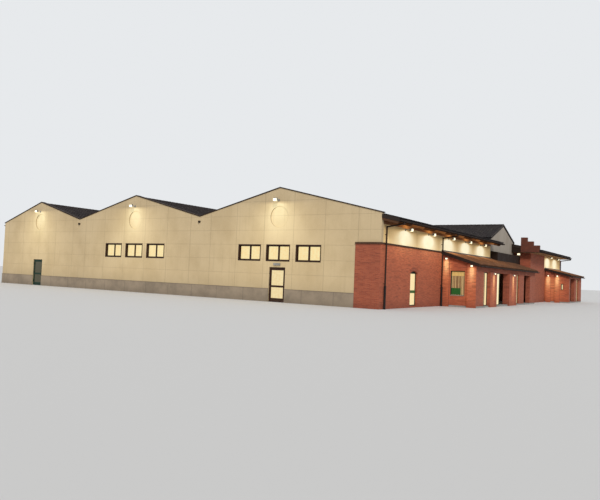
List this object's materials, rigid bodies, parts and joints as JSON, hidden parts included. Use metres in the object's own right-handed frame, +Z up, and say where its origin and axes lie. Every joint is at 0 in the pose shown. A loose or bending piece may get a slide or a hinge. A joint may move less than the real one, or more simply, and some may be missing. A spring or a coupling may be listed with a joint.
{
  "type": "1:2 scale model of a supermarket building",
  "caption": "Low supermarket with precast gable bays, a brick entrance front with lean-to porches, a cross gable and a stepped brick wing, with two glazed hinged doors.",
  "frame": {"origin": "centre of the bottom of the whole building's bounding box, on the ground", "axes": "+X out of the brick entrance front, -Y out of the gable front, +Z up"},
  "size_m": [23.058, 24.375, 4.0153],
  "materials": {
    "concrete": "plain concrete",
    "plinth": "weathered concrete",
    "precast_panel": "fine exposed aggregate",
    "dark_metal": "matt dark coating",
    "brown_frame": "satin coating",
    "green_frame": "satin coating",
    "window_glass": "clear float glass",
    "brick": "rough red brick",
    "cream_render": "fine render",
    "grey_render": "fine render",
    "dark_stone": "honed",
    "roof_tiles": "matt tiles",
    "soffit_boards": "varnished boards",
    "timber": "dark stain",
    "gutter_metal": "dark coating",
    "lamp_metal": "powder coating"
  },
  "bodies": {
    "building": {"floor_slab": "concrete", "plinth_bands": "plinth", "gable_lower_walls": "precast_panel", "bay_a_upper_wall": "precast_panel", "bay_b_wall": "precast_panel", "bay_c_upper_wall": "precast_panel", "back_wall": "precast_panel", "far_side_wall": "precast_panel", "gable_caps": "dark_metal", "gable_window_frames": "brown_frame", "gable_window_glass": "window_glass", "bay_a_door_frame": "brown_frame", "bay_c_door_frame": "green_frame", "columns": "concrete", "beams": "concrete", "front_brick_wall": "brick", "corner_brick_facing": "brick", "front_upper_wall": "cream_render", "front_copings": "dark_stone", "entrance_window_frames": "green_frame", "entrance_window_glass": "window_glass", "porch_end_walls": "brick", "porch_front_piers": "brick", "porch_beams": "brick", "porch_roof": "roof_tiles", "cross_gable_wall": "grey_render", "cross_gable_roof": "roof_tiles", "entrance_pent_roof": "dark_metal", "wing_end_walls": "brick", "wing_front_wall": "brick", "wing_upper_wall": "cream_render", "stepped_crest": "brick", "wing_roof": "roof_tiles", "wing_eaves_box": "soffit_boards", "wing_porch_end_walls": "brick", "wing_porch_piers": "brick", "wing_porch_roof": "roof_tiles", "roof_a": "roof_tiles", "roof_b": "roof_tiles", "roof_c": "roof_tiles", "eaves_rafters": "timber", "gutters": "gutter_metal", "downpipes": "gutter_metal", "outside_lamps": "lamp_metal"},
    "bay_a_door": {"bay_a_door_leaf": "brown_frame", "bay_a_door_glass": "window_glass"},
    "bay_c_door": {"bay_c_door_leaf": "green_frame", "bay_c_door_glass": "window_glass"}
  },
  "joints": [
    {"name": "bay_a_door_hinge", "type": "hinge", "parent": "building", "child": "bay_a_door", "pos_m": [4.8985, -11.9095, 0.62], "axis": [0, 0, -1], "range_deg": [0, 95]},
    {"name": "bay_c_door_hinge", "type": "hinge", "parent": "building", "child": "bay_c_door", "pos_m": [-8.899, -11.9095, 0.62], "axis": [0, 0, -1], "range_deg": [0, 95]}
  ]
}
